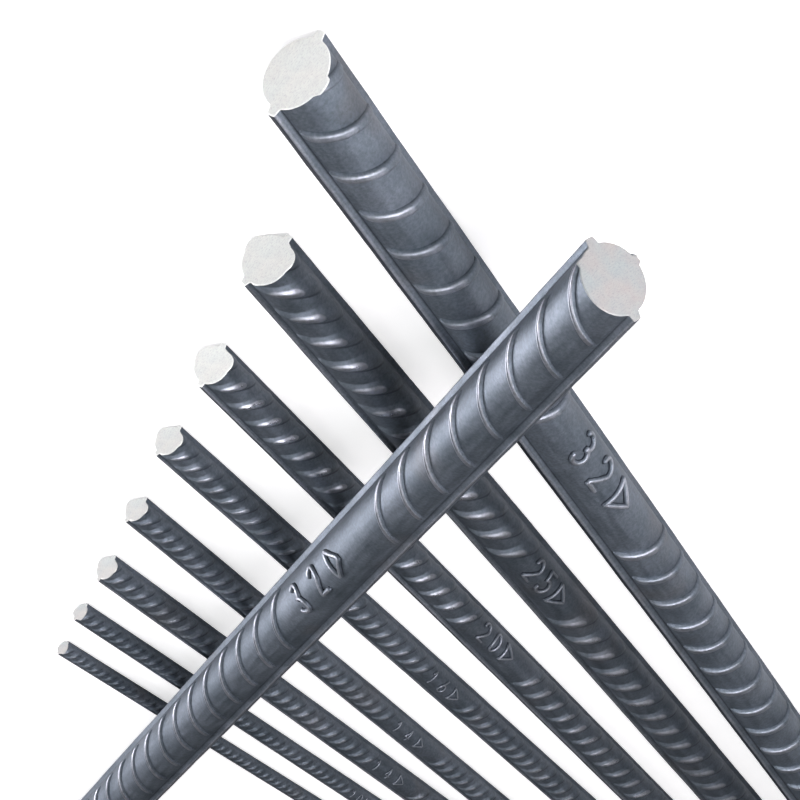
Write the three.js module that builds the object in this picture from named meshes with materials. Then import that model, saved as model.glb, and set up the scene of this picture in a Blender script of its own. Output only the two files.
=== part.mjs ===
// A bundle of nine ribbed reinforcing bars of seven sizes: eight fanned out on the ground in order of
// size, and a ninth lying across them. Millimetres, +Z up, the ground at z = 0.
//
// Every bar is hot-rolled steel with a round core and two longitudinal ribs opposite each other. A bar
// on the ground lies rolled over on its lower longitudinal rib, and stands on that rib's corner or on
// its core, whichever reaches lower. The crossing bar stands on the top of the thickest fanned bar and
// on the ground at its far end, so its slope follows from theirs.
import * as THREE from "three";

// Cut length of every bar.
const BAR_LENGTH = 1000;
// Gap between two bars that touch.
const CONTACT_GAP = 0.3;
// Edge broken by the saw at both ends.
const CUT_EDGE = 0.4;
// Slope of a longitudinal rib's flank, as width gained per height.
const FLANK_SPREAD = 0.25;
// Length of the rounded foot where a flank meets the core, in rib heights.
const FOOT_LENGTH = 0.3;
// Straight steps in a quarter turn of the core and in each rounded foot.
const ARC_STEPS = 12;

// Rolled sections by nominal diameter: core diameter, longitudinal rib height and width of the
// longitudinal rib's flat top.
const SECTIONS = {
  8: { core: 7.7, longRib: 1.1, ribTop: 1.5 },
  10: { core: 9.6, longRib: 1.3, ribTop: 1.5 },
  14: { core: 13.4, longRib: 1.8, ribTop: 1.8 },
  16: { core: 15.4, longRib: 1.9, ribTop: 1.8 },
  20: { core: 19.3, longRib: 2.1, ribTop: 2.6 },
  25: { core: 24.2, longRib: 2.6, ribTop: 3.0 },
  32: { core: 31.0, longRib: 3.2, ribTop: 4.0 },
};

// The fanned bars: nominal diameter, the near cut end's place on the ground, the heading in degrees
// anticlockwise from the thickest bar, the roll in degrees of the longitudinal ribs off the plumb line,
// and how many degrees the near cut leans out of square, sideways and upwards.
const FANNED_BARS = [
  { name: "rebar_8mm", size: 8, end: [524, -396], heading: 9.7, roll: 43, lean: [0, 0] },
  { name: "rebar_10mm", size: 10, end: [475, -357], heading: 8.6, roll: 40, lean: [0, 0] },
  { name: "rebar_14mm_outer", size: 14, end: [418, -309], heading: 6.9, roll: 36, lean: [-2, 2] },
  { name: "rebar_14mm_inner", size: 14, end: [354, -257], heading: 4.5, roll: 41, lean: [-2, 0] },
  { name: "rebar_16mm", size: 16, end: [284, -202], heading: 4.1, roll: 43, lean: [-1, 4] },
  { name: "rebar_20mm", size: 20, end: [212, -141.5], heading: 2.7, roll: 28, lean: [2, 6] },
  { name: "rebar_25mm", size: 25, end: [129, -74], heading: 1.2, roll: 45, lean: [1, 6] },
  { name: "rebar_32mm", size: 32, end: [-1.7, 0.8], heading: 0, roll: 31.5, lean: [-9, 5] },
];
// The bar that lies across the others, rolled over the other way.
const CROSSING_BAR = {
  name: "rebar_32mm_crossing",
  size: 32,
  end: [106.5, 95.3],
  heading: -42,
  roll: 44,
  lean: [11, 0],
};

// Turns an extruded outline so that it runs along +X, with its own X on +Y.
const ALONG_X = new THREE.Matrix4().makeBasis(
  new THREE.Vector3(0, 1, 0),
  new THREE.Vector3(0, 0, 1),
  new THREE.Vector3(1, 0, 0),
);

// Blue-grey mill scale, as the bars leave the rolling mill.
function millScale() {
  return new THREE.MeshStandardMaterial({ color: 0x5c646d, roughness: 0.42, metalness: 0.75 });
}

// Sizes that follow from a section: core and rib radius, and the corner of the longitudinal rib's top.
function measures(section) {
  const core = section.core / 2;
  const rib = core + section.longRib;
  const halfTop = section.ribTop / 2;
  return {
    core,
    rib,
    halfTop,
    cornerRadius: Math.hypot(rib, halfTop),
    cornerAngle: Math.atan2(halfTop, rib),
  };
}

// The line on which a bar rolled by the given angle stands: how far below its axis it lies, and how far
// to the side. It is the corner of the lower longitudinal rib, or the core where that reaches lower.
function standingLine(section, roll) {
  const { core, cornerRadius, cornerAngle } = measures(section);
  const angle = THREE.MathUtils.degToRad(roll) - cornerAngle;
  const below = cornerRadius * Math.cos(angle);
  return below > core ? { below, aside: cornerRadius * Math.sin(angle) } : { below: core, aside: 0 };
}

// The outline of a bar's section with its two longitudinal ribs on the +X and -X sides: for each rib a
// flat top with sloped flanks and rounded feet, and between the ribs the core's arc.
function sectionShape(section) {
  const { core, rib, halfTop } = measures(section);
  const halfFoot = halfTop + section.longRib * FLANK_SPREAD;
  const foot = FOOT_LENGTH * section.longRib;
  const footX = Math.sqrt(core ** 2 - halfFoot ** 2);
  const arcStart = Math.atan2(halfFoot, footX) + foot / core;
  const flank = new THREE.Vector2(rib - footX, halfTop - halfFoot).setLength(foot);
  const shape = new THREE.Shape();
  shape.moveTo(rib, -halfTop);
  shape.lineTo(rib, halfTop);
  shape.lineTo(footX + flank.x, halfFoot + flank.y);
  shape.quadraticCurveTo(footX, halfFoot, core * Math.cos(arcStart), core * Math.sin(arcStart));
  shape.absarc(0, 0, core, arcStart, Math.PI - arcStart, false);
  shape.quadraticCurveTo(-footX, halfFoot, -footX - flank.x, halfFoot + flank.y);
  shape.lineTo(-rib, halfTop);
  shape.lineTo(-rib, -halfTop);
  shape.lineTo(-footX - flank.x, -halfFoot - flank.y);
  shape.quadraticCurveTo(-footX, -halfFoot, -core * Math.cos(arcStart), -core * Math.sin(arcStart));
  shape.absarc(0, 0, core, Math.PI + arcStart, 2 * Math.PI - arcStart, false);
  shape.quadraticCurveTo(footX, -halfFoot, footX + flank.x, -halfFoot - flank.y);
  shape.closePath();
  return shape;
}

// Leans the near cut face, which lies round the origin, sideways and upwards by the given degrees.
function leanCut(geometry, [sideways, upwards]) {
  const perSide = Math.tan(THREE.MathUtils.degToRad(sideways));
  const perRise = Math.tan(THREE.MathUtils.degToRad(upwards));
  const places = geometry.getAttribute("position");
  for (let i = 0; i < places.count; i++) {
    if (places.getX(i) > BAR_LENGTH / 2) continue;
    places.setX(i, places.getX(i) + perSide * places.getY(i) + perRise * places.getZ(i));
  }
}

// One bar along +X from its near cut end at the origin. At a turn of zero its longitudinal ribs are on
// the +Z and -Z sides, and a positive turn rolls the lower one to the left.
function barMesh({ name, size, lean }, turn) {
  const geometry = new THREE.ExtrudeGeometry(sectionShape(SECTIONS[size]), {
    depth: BAR_LENGTH - 2 * CUT_EDGE,
    steps: 1,
    curveSegments: ARC_STEPS,
    bevelEnabled: true,
    bevelThickness: CUT_EDGE,
    bevelSize: CUT_EDGE,
    bevelOffset: -CUT_EDGE,
    bevelSegments: 1,
  });
  geometry.translate(0, 0, CUT_EDGE);
  geometry.applyMatrix4(ALONG_X);
  geometry.rotateX(Math.PI / 2 + THREE.MathUtils.degToRad(turn));
  leanCut(geometry, lean);
  const mesh = new THREE.Mesh(geometry, millScale());
  mesh.name = name;
  return mesh;
}

// A bar that lies on the ground.
function fannedBar(bar) {
  const placed = new THREE.Group();
  placed.position.set(bar.end[0], bar.end[1], standingLine(SECTIONS[bar.size], bar.roll).below);
  placed.rotation.z = THREE.MathUtils.degToRad(bar.heading);
  placed.add(barMesh(bar, bar.roll));
  return placed;
}

// The crossing bar: its standing line lies on the top line of the bar under it, and its far end stands
// on the ground.
function crossingBar(bar, under) {
  const line = standingLine(SECTIONS[bar.size], bar.roll);
  const underLine = standingLine(SECTIONS[under.size], under.roll);
  const turn = THREE.MathUtils.degToRad(bar.heading);
  const lineY = bar.end[1] - line.aside * Math.cos(turn);
  const topY = under.end[1] - underLine.aside;
  const overhang = (lineY - topY) / -Math.sin(turn);
  const rise = 2 * underLine.below + CONTACT_GAP;
  const slope = Math.asin(rise / (BAR_LENGTH - overhang));
  const sloped = new THREE.Group();
  sloped.rotation.y = slope;
  sloped.add(barMesh(bar, -bar.roll));
  const placed = new THREE.Group();
  placed.position.set(...bar.end, BAR_LENGTH * Math.sin(slope) + line.below * Math.cos(slope));
  placed.rotation.z = turn;
  placed.add(sloped);
  return placed;
}

const layout = new THREE.Group();
for (const bar of FANNED_BARS) layout.add(fannedBar(bar));
layout.add(crossingBar(CROSSING_BAR, FANNED_BARS.at(-1)));

// The origin is on the ground under the middle of the whole bundle.
const box = new THREE.Box3().setFromObject(layout, true);
const middle = box.getCenter(new THREE.Vector3());
layout.position.set(-middle.x, -middle.y, 0);

const bundle = new THREE.Group();
bundle.name = "rebar_bundle";
bundle.add(layout);

export default bundle;
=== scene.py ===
"""Dresses a bundle of nine ribbed reinforcing bars: eight fanned out on the ground, one lying across them.

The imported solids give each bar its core, its two longitudinal ribs and its place. Each dressed bar stands
for its solid and adds what the rolling mill and the saw leave on it: the two rows of crescent ribs, the
raised size number, the uneven longitudinal ribs, the bright cut ends and the blue-grey mill scale.

All sizes are in millimetres until a mesh is written, which is in metres.
"""

import logging
from dataclasses import dataclass, field
from enum import Enum

import bpy
import numpy as np
from mathutils import Matrix, Vector


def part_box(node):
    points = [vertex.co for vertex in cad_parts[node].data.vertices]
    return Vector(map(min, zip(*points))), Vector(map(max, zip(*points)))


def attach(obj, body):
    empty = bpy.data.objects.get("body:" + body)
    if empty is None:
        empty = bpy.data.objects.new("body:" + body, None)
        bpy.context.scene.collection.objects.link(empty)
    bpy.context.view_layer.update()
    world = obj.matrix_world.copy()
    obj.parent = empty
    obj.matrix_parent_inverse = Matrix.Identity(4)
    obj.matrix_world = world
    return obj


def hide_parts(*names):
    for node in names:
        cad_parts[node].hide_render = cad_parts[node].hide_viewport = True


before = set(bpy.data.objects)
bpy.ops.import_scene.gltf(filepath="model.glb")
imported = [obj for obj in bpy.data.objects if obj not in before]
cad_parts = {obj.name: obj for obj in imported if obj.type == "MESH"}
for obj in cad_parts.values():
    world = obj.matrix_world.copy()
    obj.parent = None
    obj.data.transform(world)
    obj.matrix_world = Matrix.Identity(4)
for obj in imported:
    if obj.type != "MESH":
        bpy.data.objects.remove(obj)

LOG = logging.getLogger("rebar_bundle")

MM = 0.001
BODY = "root"

# As in the source: the cut length, the gap of two bars that touch, the edge broken by the saw, a
# longitudinal rib's flank slope as width for height, and the length of its rounded foot in rib heights.
BAR_LENGTH = 1000.0
CONTACT_GAP = 0.3
CUT_EDGE = 0.4
FLANK_SPREAD = 0.25
FOOT_LENGTH = 0.3
# A longitudinal rib's rounded corner and unevenness, in rib heights, the share of its height from which on a
# place is its top, and how far to the marked row's side of its middle that holds, in top widths. That top is
# darkened with painted shade.
CORNER_ROUNDING = 0.16
UNEVENNESS = 0.05
TOP_FROM = 0.8
DARK_TOP = 0.45
# The core diameter above which corners and feet get more columns.
FINE_FROM = 16
# How steeply the rubbed colour on a longitudinal rib's flank, partly wear and partly painted highlight, and
# the painted shade line at a transverse one's foot grow with height.
HIGHLIGHT_AND_SHADE_GAIN = 2.5
# Degrees round the bar: the middle of a row, from where to where its ribs flare out and by how many
# degrees their width changes by all of the flare, and where rib_tail begins and is full.
ROW_MIDDLE = 80.0
FLARE_SPAN = (20.0, 118.0)
FLARE_STEP = 60
TAIL_SPAN = (95.0, 135.0)
# A rib's width where it ends, as a share of the full one, and how fast it reaches that with its height.
END_WIDTH = 0.35
WIDTH_GAIN = 1.6
# The groove along a rib's crest: half its width in half widths of the rib, its depth as a share of the rib's
# height, how much less rubbed colour it gets, and how dark the painted shade in it is on crisp and on soft
# ribs.
SEAM_WIDTH = 0.26
SEAM_DEPTH = 0.3
SEAM_DULL = 0.6
SEAM_SHADE = (0.75, 0.45)
# The painted highlight lines beside that groove, in half widths: their place and their own half width.
EDGE_PLACE = 0.6
EDGE_WIDTH = 0.18
# The painted shade line at a rib's foot, in core diameters: how far outside the foot it lies, its half width
# on crisp and on soft ribs, and how dark it is before, on and after the stretch where it is full.
LINE_OUTSIDE = 0.01
LINE_WIDTH = (0.010, 0.015)
LINE_FADE = (0.1, 1.0, 1.0, 0.1)
# How much rubbed colour, partly wear and partly painted highlight, a crest gets at the four places round the
# bar that each bar gives.
CREST_RUB_AND_HIGHLIGHT = (0.55, 1.0, 1.0, 0.0)
# Spread of the transverse ribs' heights, as a share.
HEIGHT_SPREAD = 0.03
# Distance of the first line outside a rib's foot, in core diameters.
RIM = 0.022
# Where a cut face's inner ring lies between its middle and its edge.
CAP_RING = 0.55
# The least downward share of a direction that is shortened at the ground.
LEAST_FALL = 0.1
# Points on an arc of a rolled figure.
ARC_POINTS = 19

Array = np.ndarray
Socket = bpy.types.NodeSocket
Material = bpy.types.Material
Triple = tuple[float, float, float]


@dataclass(frozen=True)
class RolledSection:
    """A bar's rolled section.

    core is the core diameter, long_rib the height of a longitudinal rib and rib_top the width of its flat
    top. cross_rib is the height of a transverse rib and cross_foot its width at the foot, along the bar.
    flare is how much of that width it loses towards the upper longitudinal rib, far_share how wide its
    far half is beside its near one, and softness the power that turns its crisp arched profile into a
    bell. curves are the powers that shape its near and its far flank: a higher one gives a flatter crest
    and a steeper flank. arc_step is the angle between two columns of the dressed surface, in degrees, and
    across the places of the lines that shape one transverse rib, in half widths from its ridge.
    """

    core: float
    long_rib: float
    rib_top: float
    cross_rib: float
    cross_foot: float
    flare: float
    far_share: float
    softness: float
    curves: tuple[float, float]
    arc_step: float
    across: tuple[float, ...]

    @property
    def radius(self) -> float:
        """The core's radius."""
        return self.core / 2

    @property
    def crisp(self) -> bool:
        """Whether the transverse ribs have kept their edges."""
        return self.softness == 1

    def standing_line(self, roll: float) -> tuple[float, float]:
        """Finds the line on which the bar stands.

        Args:
            roll: how far the longitudinal ribs are off the plumb line, in degrees.

        Returns:
            How far the line lies below the axis, and how far to the side. It is the corner of the lower
            longitudinal rib, or the core where that reaches lower.
        """
        top = self.radius + self.long_rib
        corner = np.hypot(top, self.rib_top / 2)
        angle = np.radians(roll) - np.arctan2(self.rib_top / 2, top)
        below = corner * np.cos(angle)
        if below > self.radius:
            return float(below), float(corner * np.sin(angle))
        return self.radius, 0.0

    def outline(self) -> tuple[Array, Array, Array]:
        """Draws the closed section, anticlockwise from the middle of the first longitudinal rib's top.

        A quarter is the rib's flat top, its rounded corner, its sloped flank, the rounded foot and the
        core's arc. Mirrored, it gives a half, and the half turned round gives the rest.

        Returns:
            The points, one row each: along the rib's direction, and across it. For each whether it ends a
                flat of a longitudinal rib, where the shading breaks. And for each how dark the painted shade
                at that rib's foot is there.
        """
        half_top = self.rib_top / 2
        top = self.radius + self.long_rib
        half_foot = half_top + self.long_rib * FLANK_SPREAD
        foot = FOOT_LENGTH * self.long_rib
        foot_x = np.sqrt(self.radius**2 - half_foot**2)
        arc_start = np.arctan2(half_foot, foot_x) + foot / self.radius
        corner = np.array([top, half_top])
        flank_foot = np.array([foot_x, half_foot])
        down = (flank_foot - corner) / np.linalg.norm(flank_foot - corner)
        rounding = CORNER_ROUNDING * self.long_rib
        arc_foot = self.radius * np.array([np.cos(arc_start), np.sin(arc_start)])
        fine = self.core > FINE_FROM
        edge = bezier(corner - [0, rounding], corner, corner + rounding * down, 3 if fine else 2)
        fillet = bezier(flank_foot - foot * down, flank_foot, arc_foot, 5 if fine else 3)
        steps = int(np.ceil(np.degrees(np.pi / 2 - arc_start) / self.arc_step))
        turn = np.linspace(arc_start, np.pi / 2, steps + 1)[1:]
        arc = self.radius * np.column_stack((np.cos(turn), np.sin(turn)))
        quarter = np.vstack(([[top, 0.0]], edge, fillet, arc))
        breaks = np.zeros(len(quarter), bool)
        breaks[[1, len(edge)]] = True
        # Painted shade: a dark line along a longitudinal rib's foot, in its rounded fillet.
        groove = np.zeros(len(quarter))
        dark = [0.0, 0.0, 0.4, 1.0, 0.0] if fine else [0.0, 0.8, 0.0]
        groove[len(edge) + 1 : len(edge) + 1 + len(fillet)] = dark
        half = np.vstack((quarter, quarter[-2::-1] * [-1, 1]))[:-1]
        marks = [np.tile(np.concatenate((part, part[-2::-1]))[:-1], 2) for part in (breaks, groove)]
        return np.vstack((half, -half)), *marks


CRISP_RIB = (-1.0, -0.92, -0.78, -0.55, -0.25, 0.0, 0.25, 0.6, 0.85, 1.0)
SOFT_RIB = (-1.0, -0.84, -0.55, -0.28, -0.06, 0.16, 0.45, 0.78, 1.0)
FINE_RIB = (-1.0, -0.7, -0.35, 0.0, 0.35, 0.7, 1.0)


class BarSize(Enum):
    """The rolled sections of the bundle, by nominal diameter."""

    MM_8 = RolledSection(7.7, 1.1, 1.5, 0.75, 3.6, 0.5, 0.95, 1.2, (1.4, 2.0), 13.0, FINE_RIB)
    MM_10 = RolledSection(9.6, 1.3, 1.5, 0.95, 4.4, 0.5, 0.95, 1.2, (1.4, 2.0), 12.0, FINE_RIB)
    MM_14 = RolledSection(13.4, 1.8, 1.8, 1.25, 6.0, 0.5, 0.95, 1.2, (1.4, 2.0), 9.0, FINE_RIB)
    MM_16 = RolledSection(15.4, 1.9, 1.8, 1.4, 6.8, 0.5, 0.95, 1.2, (1.4, 2.0), 8.0, FINE_RIB)
    MM_20 = RolledSection(19.3, 2.1, 2.6, 1.7, 9.0, 0.5, 0.95, 1.15, (1.4, 2.0), 6.5, SOFT_RIB)
    MM_25 = RolledSection(24.2, 2.6, 3.0, 2.0, 11.0, 0.5, 1.0, 1.1, (1.4, 2.0), 5.5, SOFT_RIB)
    MM_32 = RolledSection(31.0, 3.2, 4.0, 2.2, 6.0, 0.0, 0.9, 1.0, (8.0, 6.0), 4.5, CRISP_RIB)


class Row(Enum):
    """A row of transverse ribs, by the way round from the upper longitudinal rib seen from the near end."""

    CLOCKWISE = 1
    ANTICLOCKWISE = -1


def bezier(start: Array, control: Array, stop: Array, count: int) -> Array:
    """Gives points on a quadratic curve: start, control and stop weighted by (1-t)^2, 2t(1-t) and t^2.

    Args:
        start: the first point.
        control: the point that pulls the curve.
        stop: the last point.
        count: how many points.

    Returns:
        The points, one row each.
    """
    t = np.linspace(0.0, 1.0, count)[:, None]
    return (1 - t) ** 2 * start + 2 * t * (1 - t) * control + t**2 * stop


def arc(centre: tuple[float, float], radii: tuple[float, float], start: float, stop: float) -> Array:
    """Gives points of an ellipse's arc: the centre plus the radii times the angle's cosine and sine.

    Args:
        centre: the ellipse's centre.
        radii: its half width and half height.
        start: the first angle in degrees.
        stop: the last angle in degrees.

    Returns:
        The points, one row each.
    """
    angle = np.radians(np.linspace(start, stop, ARC_POINTS))
    return np.column_stack((centre[0] + radii[0] * np.cos(angle), centre[1] + radii[1] * np.sin(angle)))


def add_object(name: str, data: bpy.types.ID) -> bpy.types.Object:
    """Adds an object to the scene, at the origin."""
    obj = bpy.data.objects.new(name, data)
    bpy.context.scene.collection.objects.link(obj)
    return obj


def write_values(mesh: bpy.types.Mesh, label: str, values: Array) -> None:
    """Writes one number for each vertex of a mesh."""
    mesh.attributes.new(label, "FLOAT", "POINT").data.foreach_set("value", values.astype(np.float32))


@dataclass
class Shell:
    """Vertices, triangles and what goes with them, before they become a mesh.

    uv holds two numbers for each corner of each triangle, and finish the number of each triangle's material.
    crest, foot and crease go with the vertices: how much rubbed colour each gets, partly wear and partly
    painted highlight, how dark its painted shade is, and the number of the crease that it is on, or -1.
    """

    points: Array
    triangles: Array
    uv: Array
    finish: Array
    crest: Array
    foot: Array
    crease: Array

    def joined(self, other: "Shell") -> "Shell":
        """Returns one shell that holds both."""
        shift = len(self.points)
        creased = np.where(other.crease >= 0, other.crease + self.crease.max() + 1, -1)
        pairs = (
            (self.points, other.points),
            (self.triangles, other.triangles + shift),
            (self.uv, other.uv),
            (self.finish, other.finish),
            (self.crest, other.crest),
            (self.foot, other.foot),
            (self.crease, creased),
        )
        return Shell(*(np.concatenate(pair) for pair in pairs))

    def to_object(self, name: str, materials: list[Material]) -> bpy.types.Object:
        """Writes the shell as a mesh object at the origin.

        Args:
            name: the object's name.
            materials: the materials, in the order that finish counts them.

        Returns:
            The new object, in the scene.
        """
        mesh = bpy.data.meshes.new(name)
        count = len(self.triangles)
        mesh.vertices.add(len(self.points))
        mesh.vertices.foreach_set("co", (self.points * MM).astype(np.float32).ravel())
        mesh.loops.add(count * 3)
        mesh.loops.foreach_set("vertex_index", self.triangles.astype(np.int32).ravel())
        mesh.polygons.add(count)
        mesh.polygons.foreach_set("loop_start", np.arange(count, dtype=np.int32) * 3)
        mesh.polygons.foreach_set("material_index", self.finish.astype(np.int32))
        mesh.update(calc_edges=True)
        mesh.uv_layers.new(name="rolled").data.foreach_set("uv", (self.uv * MM).astype(np.float32).ravel())
        write_values(mesh, "crest", self.crest)
        write_values(mesh, "foot", self.foot)
        ends = np.zeros(len(mesh.edges) * 2, np.int32)
        mesh.edges.foreach_get("vertices", ends)
        marks = self.crease[ends.reshape(-1, 2)]
        sharp = (marks[:, 0] >= 0) & (marks[:, 0] == marks[:, 1])
        mesh.attributes.new("sharp_edge", "BOOLEAN", "EDGE").data.foreach_set("value", sharp)
        for material in materials:
            mesh.materials.append(material)
        return add_object(name, mesh)


@dataclass
class RolledNumber:
    """A plain raised number and a raised triangle, rolled into a bar where its transverse ribs pause.

    text is the number, start the place of its first figure's foot along the bar, turn the middle of the
    signs round the bar from the upper longitudinal rib in degrees, tall the height of a figure, apart the
    step from one sign to the next, stroke the width of a line and raised its height over the core.
    """

    text: str
    start: float
    turn: float
    tall: float
    apart: float
    stroke: float
    raised: float

    def strokes(self) -> list[Array]:
        """Draws the signs as paths in a flat frame, figures one unit tall.

        Returns:
            The paths, with x along the text and y up the figures, in millimetres from the first figure's
            foot.
        """
        figures = {
            "0": [arc((0.3, 0.5), (0.3, 0.5), 90, 450)],
            "1": [np.array([[0.08, 0.72], [0.34, 1.0], [0.34, 0.0]])],
            "2": [np.vstack((arc((0.3, 0.68), (0.3, 0.32), 160, -30), [[0.0, 0.0], [0.62, 0.0]]))],
            "3": [arc((0.26, 0.75), (0.26, 0.25), 140, -80), arc((0.26, 0.27), (0.32, 0.27), 80, -150)],
            "4": [np.array([[0.46, 0.0], [0.46, 1.0], [0.0, 0.3], [0.64, 0.3]])],
            "5": [np.vstack(([[0.58, 1.0], [0.08, 1.0]], arc((0.28, 0.32), (0.32, 0.32), 125, -150)))],
            "6": [np.vstack(([[0.5, 1.0]], arc((0.3, 0.3), (0.3, 0.3), 165, 520)))],
            "8": [arc((0.3, 0.75), (0.24, 0.25), 90, 450), arc((0.3, 0.27), (0.3, 0.27), 90, 450)],
        }
        triangle = [np.array([[0.0, 0.5], [0.0, 0.0], [0.9, 0.5], [0.0, 1.0], [0.0, 0.5]])]
        signs = [figures[figure] for figure in self.text] + [triangle]
        return [
            path * self.tall + [place * self.apart, -self.tall / 2]
            for place, sign in enumerate(signs)
            for path in sign
        ]

    def shell(self, bar: "RibbedBar") -> Shell:
        """Builds the raised signs on a bar.

        The flat frame is bent round the core. On one row the text runs away from the near end, and on the
        other row towards it, so that it is never mirrored.

        Args:
            bar: the bar that carries the number.

        Returns:
            The shell.
        """
        tubes = [self.tube(path) for path in self.strokes()]
        flat = np.vstack([tube.reshape(-1, 3) for tube in tubes])
        starts = np.cumsum([0] + [tube.shape[0] * tube.shape[1] for tube in tubes[:-1]])
        triangles = np.vstack([tube_faces(*tube.shape[:2]) + at for tube, at in zip(tubes, starts)])
        radius = bar.section.radius + flat[:, 2]
        side = bar.marked_row.value
        along = self.start - side * flat[:, 0]
        angle = bar.facing + side * (np.radians(self.turn) + flat[:, 1] / bar.section.radius)
        points = bar.place(along, np.column_stack((radius * np.cos(angle), radius * np.sin(angle))))
        height = np.clip(flat[:, 2] / self.raised, 0.0, 1.0)
        flat_uv = np.column_stack((along, flat[:, 1]))[triangles.ravel()]
        plain = np.full(len(points), -1)
        finish = np.zeros(len(triangles), int)
        # The signs' tops get the rubbed colour, partly wear and partly painted highlight, and their feet
        # painted shade.
        return Shell(points, triangles, flat_uv, finish, height, (1 - height) ** 2, plain)

    def tube(self, path: Array) -> Array:
        """Sweeps a flattened ring along one path, with its lower part sunk in the core.

        A ring stands at each place: half the stroke to each side times the cosine of an angle, and the
        raised height times its sine. Past both ends of the path it shrinks on a half circle. The path's
        direction is taken across a third of the stroke, which rounds its corners.

        Args:
            path: the path's points.

        Returns:
            The rings: one row for each place on the path, and x, y and height for each point of a ring.
        """
        steps = np.concatenate(([0.0], np.cumsum(np.linalg.norm(np.diff(path, axis=0), axis=1))))
        reach = self.stroke / 2
        body = np.linspace(0.0, steps[-1], max(3, int(steps[-1] / (0.7 * reach))))
        past = reach * np.array([0.995, 0.8, 0.45])
        along = np.concatenate((-past, body, steps[-1] + past[::-1]))
        inside = np.clip(along, 0.0, steps[-1])
        ahead, behind, middle = (
            np.column_stack([np.interp(inside + shift, steps, path[:, axis]) for axis in (0, 1)])
            for shift in (0.33 * self.stroke, -0.33 * self.stroke, 0.0)
        )
        tangent = (ahead - behind) / np.linalg.norm(ahead - behind, axis=1)[:, None]
        middle = middle + tangent * (along - inside)[:, None]
        share = np.sqrt(1 - ((along - inside) / reach) ** 2)
        angle = np.radians([-35.0, 0.0, 30.0, 60.0, 90.0, 120.0, 150.0, 180.0, 215.0])
        across = np.column_stack((-tangent[:, 1], tangent[:, 0]))
        wide = share[:, None] * reach * np.cos(angle)
        high = share[:, None] * self.raised * np.sin(angle)
        x, y = (middle[:, axis, None] + wide * across[:, axis, None] for axis in (0, 1))
        return np.dstack((x, y, high))


def tube_faces(rows: int, columns: int) -> Array:
    """Gives the triangles of a tube of rings with closed ends.

    Args:
        rows: how many rings.
        columns: how many points in a ring.

    Returns:
        The triangles, as vertex numbers of the rings laid one after another.
    """
    ids = np.arange(rows * columns).reshape(rows, columns)
    right = np.roll(ids, -1, axis=1)
    a, b, c, d = ids[:-1], right[:-1], right[1:], ids[1:]
    wall = np.concatenate((np.stack((a, b, c), -1).reshape(-1, 3), np.stack((a, c, d), -1).reshape(-1, 3)))
    fan = np.column_stack((np.zeros(columns - 2, int), np.arange(2, columns), np.arange(1, columns - 1)))
    return np.vstack((wall, ids[0][fan], ids[-1][fan[:, ::-1]]))


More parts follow.
